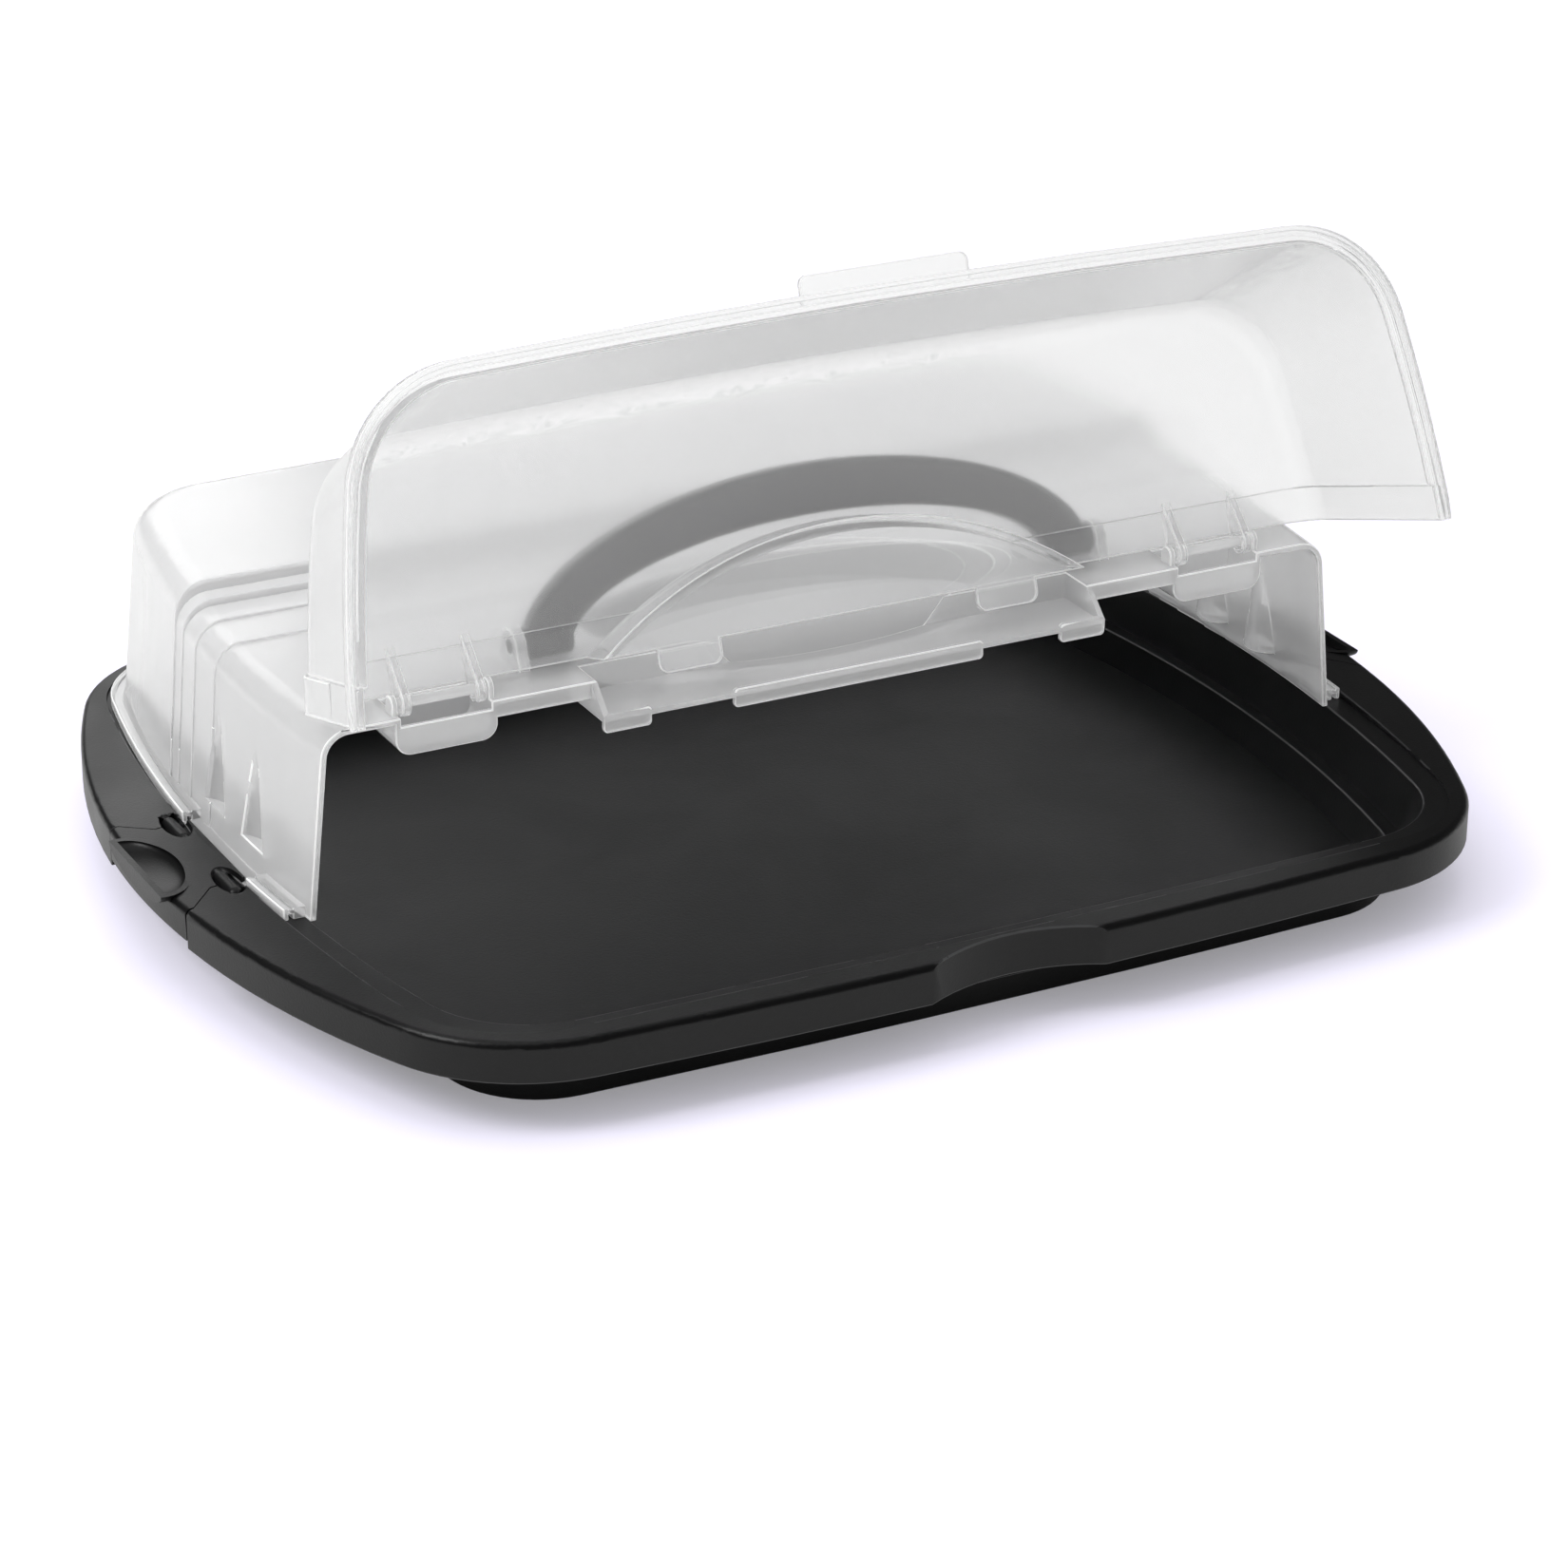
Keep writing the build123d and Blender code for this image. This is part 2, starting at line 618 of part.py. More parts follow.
with BuildPart() as closed_lid:
    add(canopy(0, 0, lid_front, band_front))
    add(canopy(-lid_band_rise, -lid_band_rise, band_front, split_y))
    with BuildPart(mode=Mode.PRIVATE) as lid_flange:
        add(flange_ring(seat_z + lid_lift, lid_front, split_y, lid_flange_clearance))
        Box(2 * (seat_half_length - lid_flange_relief), reach, reach, mode=Mode.INTERSECT)
    add(lid_flange.part)
    with BuildPart(mode=Mode.PRIVATE) as lid_cavity:
        add(canopy(hood_wall, hood_wall, lid_front, band_front))
        add(canopy(hood_wall - lid_band_rise, hood_wall - lid_band_rise, band_front,
                   split_y + cut_margin))
        with BuildSketch(Plane.XY.offset(recess_floor - hood_wall)):
            add(recess_plan(hood_wall))
        extrude(amount=hood_top, mode=Mode.SUBTRACT)
    add(lid_cavity.part, mode=Mode.SUBTRACT)
    with Locations((0, 0, seat_z + lid_lift)):
        Box(reach, reach, lid_lift + cut_margin, align=(Align.CENTER, Align.CENTER, Align.MAX),
            mode=Mode.SUBTRACT)

    # Roof recess
    with BuildSketch(Plane.XY.offset(recess_floor)):
        add(recess_plan(-recess_lean))
    with BuildSketch(Plane.XY.offset(hood_top + lid_band_rise)):
        add(recess_plan(0))
    loft(mode=Mode.SUBTRACT)

    # Tongues on the chord of the recess
    tongue_x = tongue_inner + tongue_width / 2
    with BuildSketch(Plane.XY.offset(recess_floor - hood_wall)):
        with Locations((-tongue_x, split_y), (tongue_x, split_y)):
            RectangleRounded(tongue_width, 2 * tongue_reach, tongue_corner)
    extrude(amount=hood_wall)

    # Pull tab on the front flange
    with BuildSketch(Plane.XY.offset(flange_top - pull_thickness)):
        pull_back = -flange_half_depth + lid_flange_clearance + flange_width
        with Locations((0, pull_back - (pull_reach + flange_width) / 2)):
            RectangleRounded(2 * pull_half, pull_reach + flange_width, pull_corner)
    extrude(amount=pull_thickness)

    # Hooks that snap on the bars
    hook_x = (pocket_width - hook_thickness) / 2 - hook_gap
    for x in mirrored([pocket_x]):
        for rib_x in (x - hook_x, x + hook_x):
            with BuildSketch(Plane.YZ.offset(rib_x)):
                with BuildLine():
                    Polyline((split_y - hook_reach, hood_top - hood_wall / 2),
                             (split_y, hood_top - hood_wall / 2),
                             (hinge_y, hinge_z + hook_radius),
                             (hinge_y - hook_radius * sin(radians(hook_tangent)),
                              hinge_z - hook_radius * cos(radians(hook_tangent))), close=True)
                make_face()
                with Locations((hinge_y, hinge_z)):
                    Circle(hook_radius)
                    Circle(bar_radius + bar_clearance, mode=Mode.SUBTRACT)
                with Locations((hinge_y + hook_radius, hinge_z)):
                    Rectangle(2 * hook_radius, hook_slot, mode=Mode.SUBTRACT)
            extrude(amount=hook_thickness / 2, both=True)

hinge_axis = Axis((0, hinge_y, hinge_z), (1, 0, 0))

with BuildPart() as front_lid:
    add(closed_lid.part.rotate(hinge_axis, -lid_open_angle))

front_lid.part.label = "front_lid"
export_step(front_lid.part, "parts/front_lid.step")

# Handle, made upright and then leant back -----------------------------------------------------------

foot_z = handle_pivot_z - handle_foot_drop
with BuildPart() as upright_handle:
    with BuildSketch(Plane.XZ.offset(-handle_y)):
        with Locations((0, foot_z)):
            Ellipse(handle_half_span, handle_rise + handle_foot_drop)
            Ellipse(handle_half_span - handle_width,
                    handle_rise + handle_foot_drop - handle_crown, mode=Mode.SUBTRACT)
        with Locations((0, handle_pivot_z)):
            Rectangle(reach, reach, align=(Align.CENTER, Align.MAX), mode=Mode.SUBTRACT)
    extrude(amount=handle_thickness / 2, both=True)
    long_edges = upright_handle.edges().filter_by(lambda e: e.length > handle_rise)
    fillet(long_edges, handle_round)
    for side in (-1, 1):
        with Locations((side * (handle_half_span - handle_width / 2), handle_y, handle_pivot_z)):
            Cylinder(handle_eye, handle_width, rotation=(0, 90, 0))
        pin_length = handle_gap + lug_thickness + handle_pin_clearance
        with Locations((side * (handle_half_span + pin_length / 2), handle_y, handle_pivot_z)):
            Cylinder(handle_pin_radius, pin_length, rotation=(0, 90, 0))

with BuildPart() as carry_handle:
    add(upright_handle.part.rotate(Axis((0, handle_y, handle_pivot_z), (1, 0, 0)), -handle_lean))

carry_handle.part.label = "carry_handle"
export_step(carry_handle.part, "parts/carry_handle.step")

# Latch clips ------------------------------------------------------------------------------------


def thumb_dish(growth):
    """The dish of the thumb scoop, half an ellipsoid's outside grown by growth."""
    with BuildPart() as dish:
        Sphere(1)
    sizes = (thumb_depth + growth, thumb_half + growth, thumb_sink + growth)
    sized = scale(dish.part, by=sizes, mode=Mode.PRIVATE)
    return sized.moved(Location((rim_half_length, 0, thumb_z)))


with BuildPart() as right_clip:
    # Top plate and skirt that carry on the rim's shape
    add(rim_body(0, 0, clip_skirt_bottom))
    add(rim_body(base_wall, clip_thickness, clip_skirt_bottom), mode=Mode.SUBTRACT)
    with BuildSketch(Plane.XY.offset(clip_skirt_bottom)):
        add(clip_plan(1, seat_half_length - clip_nose_reach, 0))
    extrude(amount=rim_top, mode=Mode.INTERSECT)

    # Nose over the hood's flange: thinner than the plate behind it
    with Locations((seat_half_length + clip_gap, 0, clip_flange_top + clip_nose_lift)):
        Box(rim_half_length, reach, reach, align=(Align.MAX, Align.CENTER, Align.MAX),
            mode=Mode.SUBTRACT)

    # Thumb scoop, with a lip that bulges out of the rim's line
    with BuildPart(mode=Mode.PRIVATE) as dish_shell:
        add(thumb_dish(thumb_lip))
        with Locations((rim_half_length + thumb_bulge, 0, thumb_z)):
            Box(rim_half_length, reach, reach, align=(Align.MAX, Align.CENTER, Align.MAX),
                mode=Mode.INTERSECT)
    add(dish_shell.part)
    with BuildPart(mode=Mode.PRIVATE) as dish_hollow:
        add(thumb_dish(0))
        with Locations((rim_half_length + thumb_bulge - thumb_lip, 0, thumb_z)):
            Box(rim_half_length, reach, reach, align=(Align.MAX, Align.CENTER, Align.CENTER),
                mode=Mode.INTERSECT)
    add(dish_hollow.part, mode=Mode.SUBTRACT)

    # Hollows over the pin's ends, barrel, and pins with domed ends
    add(clip_scoops(1), mode=Mode.SUBTRACT)
    with Locations((clip_pin_x, 0, clip_pin_z)):
        Cylinder(clip_barrel_radius, 2 * clip_neck_half, rotation=(90, 0, 0))
    pin_length = clip_pin_outer - clip_pin_inner - 2 * clip_pin_radius
    pin_middle = (clip_pin_outer + clip_pin_inner) / 2
    for y in (-pin_middle, pin_middle):
        with Locations((clip_pin_x, y, clip_pin_z)):
            Cylinder(clip_pin_radius, pin_length, rotation=(90, 0, 0))
        with Locations((clip_pin_x, y - pin_length / 2, clip_pin_z),
                       (clip_pin_x, y + pin_length / 2, clip_pin_z)):
            Sphere(clip_pin_radius)

right_clip.part.label = "latch_right"
export_step(right_clip.part, "parts/latch_right.step")

with BuildPart() as left_clip:
    add(right_clip.part.rotate(Axis.Z, 180))

left_clip.part.label = "latch_left"
export_step(left_clip.part, "parts/latch_left.step")
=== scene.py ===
import json
import math

import bmesh
import bpy
from mathutils import Matrix, Vector


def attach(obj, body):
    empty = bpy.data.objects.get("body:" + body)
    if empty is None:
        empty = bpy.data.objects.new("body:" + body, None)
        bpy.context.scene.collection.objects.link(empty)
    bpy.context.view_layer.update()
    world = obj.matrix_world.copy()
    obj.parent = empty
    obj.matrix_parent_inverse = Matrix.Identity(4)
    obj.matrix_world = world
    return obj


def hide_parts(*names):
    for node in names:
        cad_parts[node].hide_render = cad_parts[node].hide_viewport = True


# Cake carrier: dark base with two latch clips, frosted hood with a front lid that swings up

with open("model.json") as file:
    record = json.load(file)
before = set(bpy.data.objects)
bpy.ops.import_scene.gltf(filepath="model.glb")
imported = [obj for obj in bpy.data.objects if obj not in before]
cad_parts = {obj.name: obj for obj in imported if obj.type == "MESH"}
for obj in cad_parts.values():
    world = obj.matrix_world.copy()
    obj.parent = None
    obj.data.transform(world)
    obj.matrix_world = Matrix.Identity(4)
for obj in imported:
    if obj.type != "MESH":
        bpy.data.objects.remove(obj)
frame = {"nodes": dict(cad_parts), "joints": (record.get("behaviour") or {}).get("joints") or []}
nodes = frame["nodes"]
joints = {joint["name"]: joint for joint in frame["joints"]}
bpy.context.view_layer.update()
bpy.context.scene.view_settings.view_transform = "Standard"
print("frame loaded")

white = (1, 1, 1, 1)

cameraView = {
    "lens": 108.74,
    "clip": (0.05, 30),
    "azimuth": -27.69,
    "elevation": 24.25,
    "roll": 0.39,
    "distance": 1.6072,
    "target": (0.0, 0.0, 0.060),
    "slideRight": 0.00727,
    "slideUp": -0.03938,
}


def placeCamera(v):
    turn, lift, roll = (math.radians(v[key]) for key in ("azimuth", "elevation", "roll"))
    level = math.cos(lift)
    back = Vector((math.sin(turn) * level, -math.cos(turn) * level, math.sin(lift)))
    right = Vector((math.cos(turn), math.sin(turn), 0))
    up = back.cross(right)
    spot = Vector(v["target"]) + back * v["distance"]
    spot = spot + right * v["slideRight"] + up * v["slideUp"]
    rolledRight = right * math.cos(roll) + up * math.sin(roll)
    rolledUp = up * math.cos(roll) - right * math.sin(roll)
    data = bpy.data.cameras.new("camera")
    data.lens = v["lens"]
    data.clip_start, data.clip_end = v["clip"]
    camera = bpy.data.objects.new("camera", data)
    bpy.context.scene.collection.objects.link(camera)
    turned = Matrix((rolledRight, rolledUp, back)).transposed()
    camera.matrix_world = Matrix.Translation(spot) @ turned.to_4x4()
    bpy.context.scene.camera = camera


placeCamera(cameraView)
print("camera placed")


def newMaterial(name):
    mat = bpy.data.materials.new(name)
    mat.use_nodes = True
    tree = mat.node_tree
    return mat, tree, tree.nodes["Principled BSDF"]


def addNode(tree, kind, values=None, **settings):
    node = tree.nodes.new(kind)
    for key, value in settings.items():
        setattr(node, key, value)
    for key, value in (values or {}).items():
        node.inputs[key].default_value = value
    return node


def newGroup(name, inputs, outputs):
    tree = bpy.data.node_groups.new(name, "ShaderNodeTree")
    for side, titles in (("INPUT", inputs), ("OUTPUT", outputs)):
        for title in titles:
            tree.interface.new_socket(title, in_out=side, socket_type="NodeSocketFloat")
    return tree, tree.nodes.new("NodeGroupInput"), tree.nodes.new("NodeGroupOutput")


grainNoise = {
    "fine": {"Detail": 3.0, "Roughness": 0.6},
    "broad": {"Scale": 60.0, "Detail": 1.0},
}


def mouldGrainGroup(v):
    # Fine spark-eroded texture of a moulded plastic, as a height
    tree, start, end = newGroup("mouldGrain", ["Scale", "Unevenness"], ["Height"])
    coords = addNode(tree, "ShaderNodeTexCoord")
    fine = addNode(tree, "ShaderNodeTexNoise", v["fine"])
    broad = addNode(tree, "ShaderNodeTexNoise", v["broad"])
    mix = addNode(tree, "ShaderNodeMath", operation="MULTIPLY_ADD")
    tree.links.new(coords.outputs["Object"], fine.inputs["Vector"])
    tree.links.new(start.outputs["Scale"], fine.inputs["Scale"])
    tree.links.new(coords.outputs["Object"], broad.inputs["Vector"])
    tree.links.new(broad.outputs["Fac"], mix.inputs[0])
    tree.links.new(start.outputs["Unevenness"], mix.inputs[1])
    tree.links.new(fine.outputs["Fac"], mix.inputs[2])
    tree.links.new(mix.outputs[0], end.inputs["Height"])
    return tree


handlingNoise = {
    "cloud": {"Detail": 4.0, "Roughness": 0.55, "Distortion": 0.6},
    "contrast": {"From Min": 0.35, "From Max": 0.65},
}


def handlingGroup(v):
    # Broad soft patches where hands and cloths have polished or dulled the surface
    tree, start, end = newGroup("handling", ["Scale", "Low", "High"], ["Roughness", "Mask"])
    coords = addNode(tree, "ShaderNodeTexCoord")
    cloud = addNode(tree, "ShaderNodeTexNoise", v["cloud"])
    spread = addNode(tree, "ShaderNodeMapRange", v["contrast"])
    tree.links.new(coords.outputs["Object"], cloud.inputs["Vector"])
    tree.links.new(start.outputs["Scale"], cloud.inputs["Scale"])
    tree.links.new(cloud.outputs["Fac"], spread.inputs["Value"])
    tree.links.new(start.outputs["Low"], spread.inputs["To Min"])
    tree.links.new(start.outputs["High"], spread.inputs["To Max"])
    tree.links.new(spread.outputs["Result"], end.inputs["Roughness"])
    tree.links.new(cloud.outputs["Fac"], end.inputs["Mask"])
    return tree


mouldGrain = mouldGrainGroup(grainNoise)
handling = handlingGroup(handlingNoise)


def addSurface(tree, shader, v):
    # What all the plastics share: two tints, patchy polish and mould grain
    link = tree.links.new
    grain = addNode(tree, "ShaderNodeGroup", {
        "Scale": v["grainScale"], "Unevenness": v["unevenness"],
    }, node_tree=mouldGrain)
    hands = addNode(tree, "ShaderNodeGroup", {
        "Scale": v["patchScale"], "Low": v["roughLow"], "High": v["roughHigh"],
    }, node_tree=handling)
    tint = addNode(tree, "ShaderNodeMix", {"A": v["deep"], "B": v["pale"]}, data_type="RGBA")
    bump = addNode(tree, "ShaderNodeBump", {
        "Strength": v["grainStrength"], "Distance": v["grainDepth"],
    })
    link(hands.outputs["Mask"], tint.inputs["Factor"])
    link(tint.outputs["Result"], shader.inputs["Base Color"])
    link(hands.outputs["Roughness"], shader.inputs["Roughness"])
    link(grain.outputs["Height"], bump.inputs["Height"])
    link(bump.outputs["Normal"], shader.inputs["Normal"])
    shader.inputs["IOR"].default_value = v["ior"]


satinBlack = {
    "name": "satinBlackPlastic",
    "deep": (0.0018, 0.0018, 0.0020, 1),
    "pale": (0.0034, 0.0034, 0.0037, 1),
    "grainScale": 1100.0,
    "grainDepth": 0.00011,
    "grainStrength": 0.5,
    "unevenness": 0.3,
    "patchScale": 14.0,
    "roughLow": 0.30,
    "roughHigh": 0.38,
    "gloss": 0.36,
    "ior": 1.46,
}

# Rounded edges get a paler, glossier black: the paler colour is a painted highlight that draws
# each edge as a light line
edgeHighlightBlack = {
    **satinBlack,
    "name": "blackEdgeHighlight",
    "deep": (0.018, 0.018, 0.019, 1),
    "pale": (0.030, 0.030, 0.032, 1),
    "grainDepth": 0.00003,
    "roughLow": 0.26,
    "roughHigh": 0.32,
    "gloss": 0.70,
}


def makeSatinBlack(v):
    mat, tree, shader = newMaterial(v["name"])
    addSurface(tree, shader, v)
    shader.inputs["Specular IOR Level"].default_value = v["gloss"]
    return mat


# The shells are seen at "cover" and shade at "shadeCover", so that light scatters through them.
# Each range from roughLow to roughHigh stays clear of 0.27, where the denoiser draws cracks.
frostedBase = {
    "grainScale": 700.0,
    "grainDepth": 0.00006,
    "grainStrength": 0.35,
    "unevenness": 2.5,
    "patchScale": 9.0,
    "shadeCover": 0.42,
    "ior": 1.40,
}
hoodPlastic = {
    **frostedBase,
    "name": "frostedHood",
    "pale": (0.915, 0.915, 0.918, 1),
    "deep": (0.875, 0.876, 0.880, 1),
    "transmission": 0.58,
    "roughLow": 0.15,
    "roughHigh": 0.20,
    "cover": 0.92,
}
lidPlastic = {
    **frostedBase,
    "name": "frostedLid",
    "pale": (0.945, 0.946, 0.948, 1),
    "deep": (0.925, 0.926, 0.929, 1),
    "transmission": 0.83,
    "roughLow": 0.19,
    "roughHigh": 0.24,
    "cover": 0.93,
}
windowPlastic = {
    **frostedBase,
    "name": "frostedWindow",
    "pale": (0.960, 0.962, 0.965, 1),
    "deep": (0.950, 0.952, 0.955, 1),
    "transmission": 0.80,
    "grainDepth": 0.00004,
    "roughLow": 0.06,
    "roughHigh": 0.09,
    "cover": 0.75,
}
# The shells' edge rounds let far less light through than the faces, so each edge shows as a pale
# line: a painted highlight. The hood's edge rounds are also whiter than its faces.
lidEdgeHighlight = {
    **frostedBase,
    "name": "frostedEdgeHighlight",
    "pale": (0.890, 0.890, 0.892, 1),
    "deep": (0.870, 0.870, 0.873, 1),
    "transmission": 0.20,
    "grainDepth": 0.00004,
    "roughLow": 0.31,
    "roughHigh": 0.36,
    "cover": 0.95,
}
hoodEdgeHighlight = {
    **lidEdgeHighlight,
    "name": "frostedHoodEdgeHighlight",
    "pale": (0.985, 0.985, 0.985, 1),
    "deep": (0.975, 0.975, 0.975, 1),
    "transmission": 0.10,
}


def makeFrosted(v):
    mat, tree, shader = newMaterial(v["name"])
    addSurface(tree, shader, v)
    shader.inputs["Transmission Weight"].default_value = v["transmission"]
    path = addNode(tree, "ShaderNodeLightPath")
    shade = addNode(tree, "ShaderNodeMath", operation="MAXIMUM")
    cover = addNode(tree, "ShaderNodeMapRange", {"To Min": v["cover"], "To Max": v["shadeCover"]})
    tree.links.new(path.outputs["Is Shadow Ray"], shade.inputs[0])
    tree.links.new(path.outputs["Is Diffuse Ray"], shade.inputs[1])
    tree.links.new(shade.outputs[0], cover.inputs["Value"])
    tree.links.new(cover.outputs["Result"], shader.inputs["Alpha"])
    return mat


blackPlastic = makeSatinBlack(satinBlack)
blackEdge = makeSatinBlack(edgeHighlightBlack)
frostedHood = makeFrosted(hoodPlastic)
frostedHoodEdge = makeFrosted(hoodEdgeHighlight)
frostedLid = makeFrosted(lidPlastic)
frostedLidEdge = makeFrosted(lidEdgeHighlight)
frostedWindow = makeFrosted(windowPlastic)
print("materials made")

shells = {
    "baseTray": {
        "node": "tray", "body": "base", "slot": "base_plastic",
        "faces": blackPlastic, "edges": blackEdge, "edgeWidth": 0.0005,
    },
    "hoodShell": {
        "node": "rear_hood", "body": "hood", "slot": "frosted_plastic",
        "faces": frostedHood, "edges": frostedHoodEdge, "edgeWidth": 0.00045,
    },
    "lidShell": {
        "node": "front_lid", "body": "lid", "slot": "frosted_plastic",
        "faces": frostedLid, "edges": frostedLidEdge, "edgeWidth": 0.00045,
    },
    "handleBow": {
        "node": "carry_handle", "body": "handle", "slot": "base_plastic",
        "faces": blackPlastic, "edges": blackEdge, "edgeWidth": 0.0004,
    },
    "clipRight": {
        "node": "latch_right", "body": "clip_right", "slot": "base_plastic",
        "faces": blackPlastic, "edges": blackEdge, "edgeWidth": 0.00035,
    },
    "clipLeft": {
        "node": "latch_left", "body": "clip_left", "slot": "base_plastic",
        "faces": blackPlastic, "edges": blackEdge, "edgeWidth": 0.00035,
    },
}
softening = {
    "merge": 0.000002,
    "flat": 0.6,  # degrees below which faces join
    "sharp": 38.0,  # degrees above which an edge is rounded
    "room": 2.6,  # free space that a round needs beside it, in edge widths
    "aside": 0.6,  # share of a gap that has to point away from the edge's line
    "segments": 2,
    "smooth": 40.0,
    "evenness": 80,
}


def pick(obj):
    bpy.ops.object.select_all(action="DESELECT")
    obj.select_set(True)
    bpy.context.view_layer.objects.active = obj


def applyModifier(obj, kind, **settings):
    modifier = obj.modifiers.new(kind.lower(), kind)
    for key, value in settings.items():
        setattr(modifier, key, value)
    pick(obj)
    bpy.ops.object.modifier_apply(modifier=modifier.name)


def crowded(edge, vert, room, share):
    # True where vert lies beside the edge and nearer than its round needs. Corners that only carry
    # on along the edge's own line, as on an arc, don't count.
    start, end = (corner.co for corner in edge.verts)
    along = (end - start).normalized()
    reach = (vert.co - start).dot(along)
    if 0 < reach < edge.calc_length():
        return (vert.co - start - along * reach).length < room
    gap = vert.co - (start if reach <= 0 else end)
    aside = (gap - along * gap.dot(along)).length
    return gap.length < room and aside > share * gap.length


def markRounds(mesh, width, soft):
    # Outer edges that have room on both sides are weighted for the bevel
    angle = math.radians(soft["sharp"])
    room = soft["room"] * width
    bm = bmesh.new()
    bm.from_mesh(mesh)
    weight = bm.edges.layers.float.new("bevel_weight_edge")
    for edge in bm.edges:
        if not (edge.is_manifold and edge.is_convex and edge.calc_face_angle() > angle):
            continue
        near = {vert for face in edge.link_faces for vert in face.verts}
        near |= {other.other_vert(corner) for corner in edge.verts for other in corner.link_edges}
        near -= set(edge.verts)
        if not any(crowded(edge, vert, room, soft["aside"]) for vert in near):
            edge[weight] = 1.0
    bm.to_mesh(mesh)
    bm.free()


def softenedCopy(title, v, soft):
    # A moulding has no knife edges: outer ones get a small round that catches the light. The
    # rounds take the edge material, which paints a paler highlight on them.
    node = nodes[v["node"]]
    shell = node.copy()
    shell.data = node.data.copy()
    shell.name = title
    bpy.context.scene.collection.objects.link(shell)
    pick(shell)
    bpy.ops.object.mode_set(mode="EDIT")
    bpy.ops.mesh.select_all(action="SELECT")
    bpy.ops.mesh.remove_doubles(threshold=soft["merge"])
    bpy.ops.mesh.customdata_custom_splitnormals_clear()
    bpy.ops.mesh.dissolve_limited(angle_limit=math.radians(soft["flat"]))
    bpy.ops.object.mode_set(mode="OBJECT")
    shell.data.materials.clear()
    shell.data.materials.append(v["faces"])
    shell.data.materials.append(v["edges"])
    markRounds(shell.data, v["edgeWidth"], soft)
    applyModifier(shell, "BEVEL", width=v["edgeWidth"], segments=soft["segments"], material=1,
                  limit_method="WEIGHT", use_clamp_overlap=False, harden_normals=False)
    bpy.ops.object.shade_smooth_by_angle(angle=math.radians(soft["smooth"]))
    applyModifier(shell, "WEIGHTED_NORMAL", keep_sharp=True, weight=soft["evenness"])
    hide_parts(v["node"])
    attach(shell, v["body"])
    return shell


made = {title: softenedCopy(title, values, softening) for title, values in shells.items()}


# The clearer panel of the lid, between the arc of its roof recess and the hinge, as it lies closed
window = {
    "hinge": Vector(joints["lid_hinge"]["pos_m"]),
    "openAngle": joints["lid_hinge"]["range_deg"][1],
    "halfChord": 0.087,
    "chordY": -0.056,
    "rise": 0.0285,
    "floorTop": 0.0915,
    "wall": 0.0022,
    "slack": 0.000275,
}


def clearPanel(shell, v, mat):
    shell.data.materials.append(mat)
    slotIndex = len(shell.data.materials) - 1
    closing = Matrix.Rotation(math.radians(v["openAngle"]), 3, "X")
    radius = (v["halfChord"] ** 2 + v["rise"] ** 2) / (2 * v["rise"])
    arcY = v["chordY"] - v["rise"] + radius
    for face in shell.data.polygons:
        spot = closing @ (face.center - v["hinge"]) + v["hinge"]
        level = v["floorTop"] - v["wall"] < spot.z < v["floorTop"] + v["slack"]
        inside = math.hypot(spot.x, spot.y - arcY) < radius + v["wall"]
        if face.material_index == 0 and level and inside:
            face.material_index = slotIndex


clearPanel(made["lidShell"], window, frostedWindow)
print("shells softened")

studio = {
    "floorSize": 8.0,
    "floorRough": 0.9,
    "floorColour": (0.82, 0.82, 0.82, 1),
    "shadowTint": (0.80, 0.77, 0.93, 1),  # floor's colour for the camera, seen in the shadow only
    "cameraGlow": 0.22,  # added up to fadeStart from the middle
    "farGlow": 0.60,  # added from fadeEnd outwards
    "throughGlow": 0.08,  # seen through the shells
    "fadeStart": 0.35,
    "fadeEnd": 1.1,
    "cameraStrength": 1.0,
    "worldStrength": 0.84,  # what lights the carrier
    "throughStrength": 0.84,  # seen through the shells
    "mirrorStrength": 0.09,  # mirrored by the black plastic
}


def makeFloor(v):
    bpy.ops.object.select_all(action="DESELECT")
    bpy.ops.mesh.primitive_plane_add(size=v["floorSize"])
    floor = bpy.context.object
    floor.name = "floor"
    mat, tree, shader = newMaterial("floorWhite")
    shader.inputs["Roughness"].default_value = v["floorRough"]
    shader.inputs["Specular IOR Level"].default_value = 0.0
    shader.inputs["Emission Color"].default_value = white
    path = addNode(tree, "ShaderNodeLightPath")
    near = addNode(tree, "ShaderNodeMath", {1: v["throughGlow"]}, operation="MULTIPLY")
    glow = addNode(tree, "ShaderNodeMath", operation="MULTIPLY_ADD")
    # The floor glows up to plain white further out, so no horizon shows
    coords = addNode(tree, "ShaderNodeTexCoord")
    away = addNode(tree, "ShaderNodeVectorMath", operation="LENGTH")
    fade = addNode(tree, "ShaderNodeMapRange", {
        "From Min": v["fadeStart"], "From Max": v["fadeEnd"],
        "To Min": v["cameraGlow"], "To Max": v["farGlow"],
    }, interpolation_type="SMOOTHSTEP")
    tree.links.new(coords.outputs["Object"], away.inputs[0])
    tree.links.new(away.outputs["Value"], fade.inputs["Value"])
    tree.links.new(fade.outputs["Result"], glow.inputs[1])
    tree.links.new(path.outputs["Is Transmission Ray"], near.inputs[0])
    tree.links.new(path.outputs["Is Camera Ray"], glow.inputs[0])
    tree.links.new(near.outputs[0], glow.inputs[2])
    tint = addNode(tree, "ShaderNodeMix", {
        "A": v["floorColour"], "B": v["shadowTint"],
    }, data_type="RGBA")
    tree.links.new(path.outputs["Is Camera Ray"], tint.inputs["Factor"])
    tree.links.new(tint.outputs["Result"], shader.inputs["Base Color"])
    tree.links.new(glow.outputs[0], shader.inputs["Emission Strength"])
    floor.data.materials.append(mat)


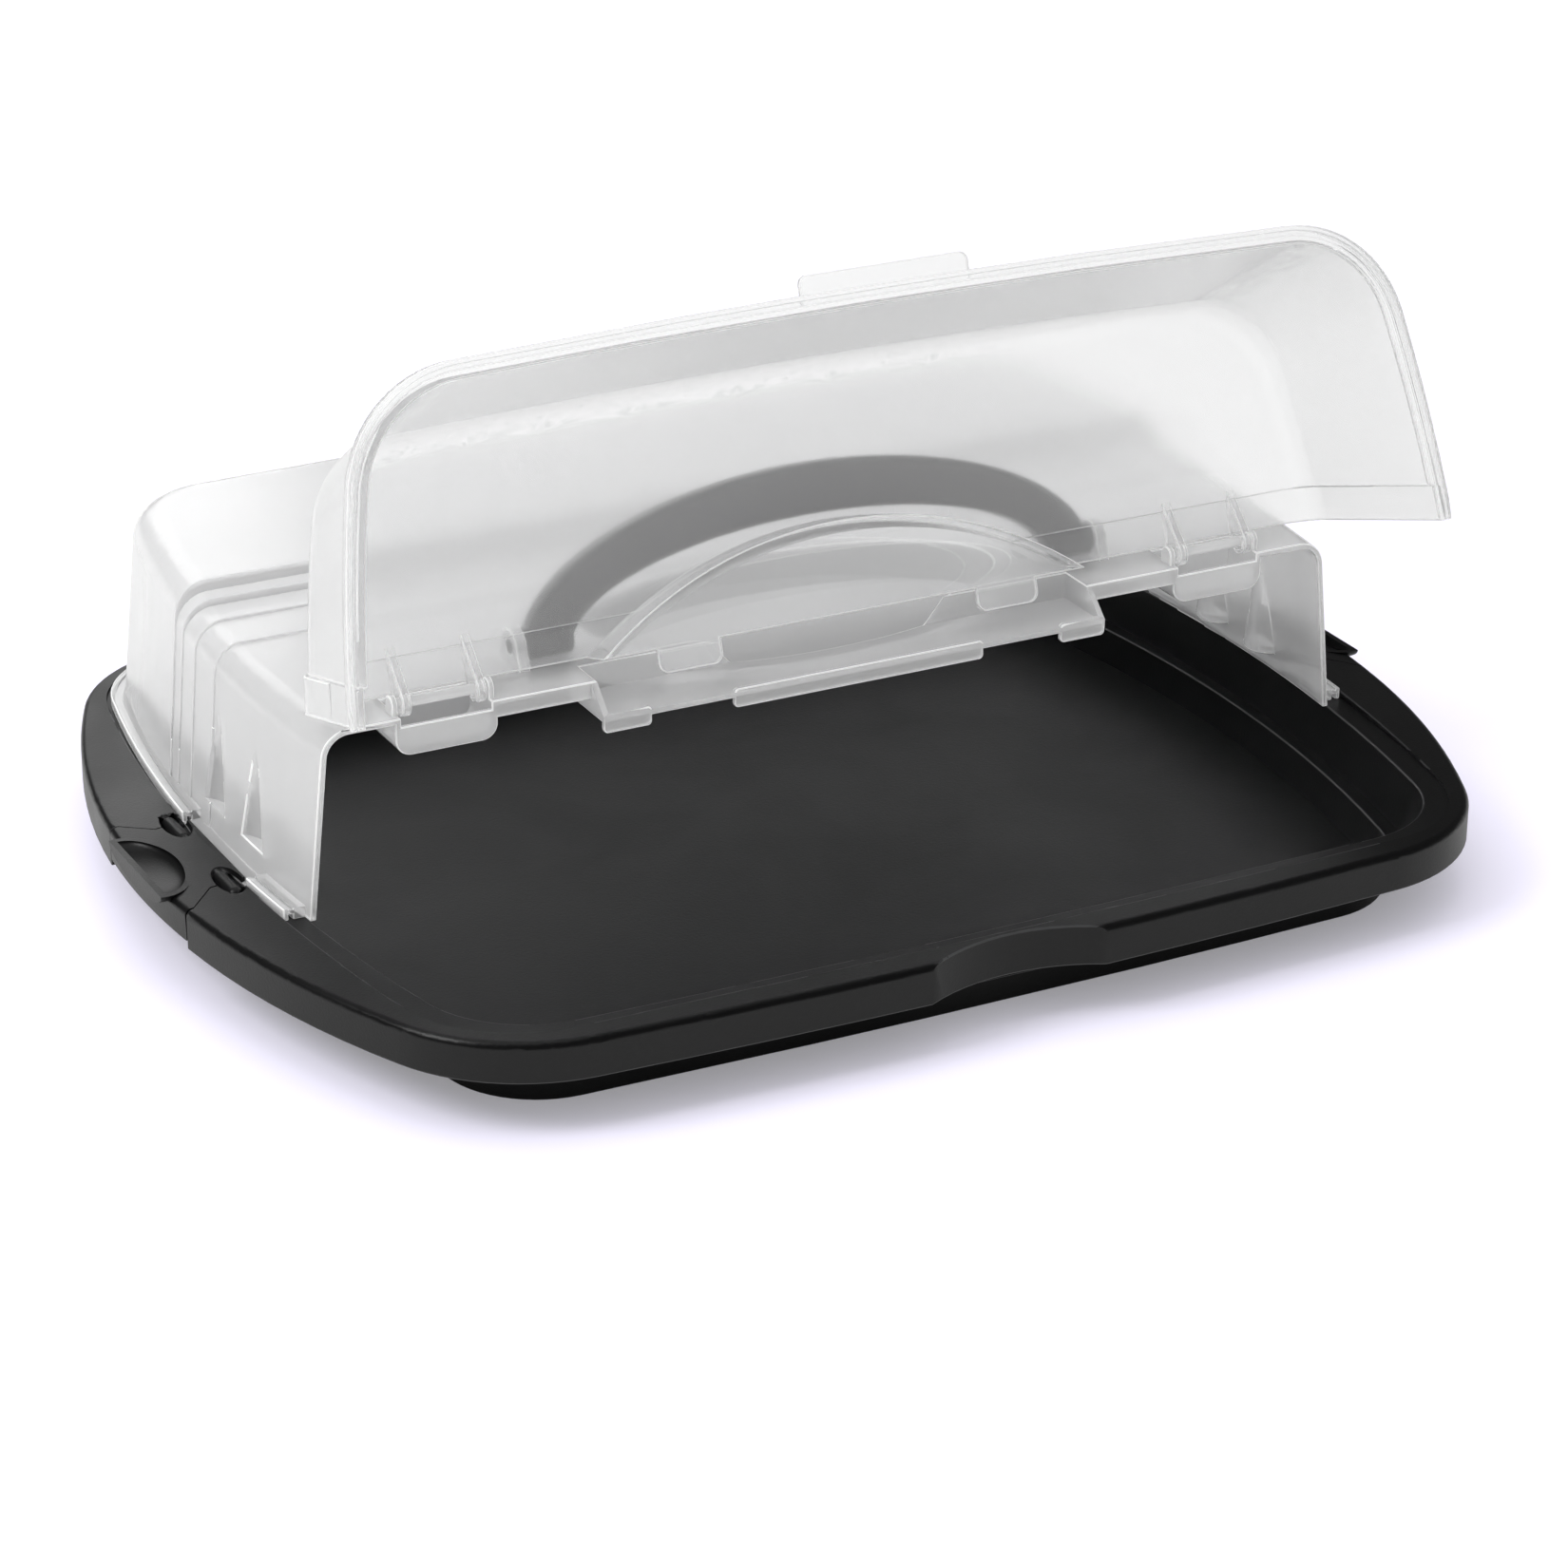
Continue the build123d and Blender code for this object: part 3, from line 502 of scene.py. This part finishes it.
def makeWorld(v):
    world = bpy.data.worlds.new("studioWorld")
    bpy.context.scene.world = world
    world.use_nodes = True
    tree = world.node_tree
    sky = tree.nodes["Background"]
    sky.inputs["Color"].default_value = white
    path = addNode(tree, "ShaderNodeLightPath")
    through = addNode(tree, "ShaderNodeMix", {"B": v["throughStrength"]})
    mirror = addNode(tree, "ShaderNodeMix", {"B": v["mirrorStrength"]})
    bare = addNode(tree, "ShaderNodeMath", operation="SUBTRACT", use_clamp=True)
    level = addNode(tree, "ShaderNodeMapRange", {
        "To Min": v["worldStrength"], "To Max": v["cameraStrength"],
    })
    tree.links.new(path.outputs["Is Camera Ray"], level.inputs["Value"])
    tree.links.new(path.outputs["Is Transmission Ray"], through.inputs["Factor"])
    tree.links.new(level.outputs["Result"], through.inputs["A"])
    # Light mirrored by a shell's inside keeps the full level: only bare reflections are dimmed
    tree.links.new(path.outputs["Transmission Depth"], bare.inputs[1])
    tree.links.new(path.outputs["Is Glossy Ray"], bare.inputs[0])
    tree.links.new(bare.outputs[0], mirror.inputs["Factor"])
    tree.links.new(through.outputs["Result"], mirror.inputs["A"])
    tree.links.new(mirror.outputs["Result"], sky.inputs["Strength"])


softLamps = {
    "overhead": {"spot": (-0.2, 0.1, 1.7), "aim": (0, 0, 0), "size": 1.6, "watts": 6.0},
    "back": {"spot": (0.05, 1.6, 0.8), "aim": (-0.1, 0.1, 0.05), "size": 0.8, "watts": 3.6},
    "key": {"spot": (-1.4, -0.05, 1.4), "aim": (0, 0, 0.05), "size": 0.8, "watts": 14.0},
}


def makeLamp(name, v):
    data = bpy.data.lights.new(name, "AREA")
    data.size = v["size"]
    data.energy = v["watts"]
    lamp = bpy.data.objects.new(name, data)
    bpy.context.scene.collection.objects.link(lamp)
    lamp.location = v["spot"]
    aim = Vector(v["aim"]) - Vector(v["spot"])
    lamp.rotation_euler = aim.to_track_quat("-Z", "Y").to_euler()


makeFloor(studio)
makeWorld(studio)
for lampName, lampValues in softLamps.items():
    makeLamp(lampName, lampValues)
print("floor and lamps placed")
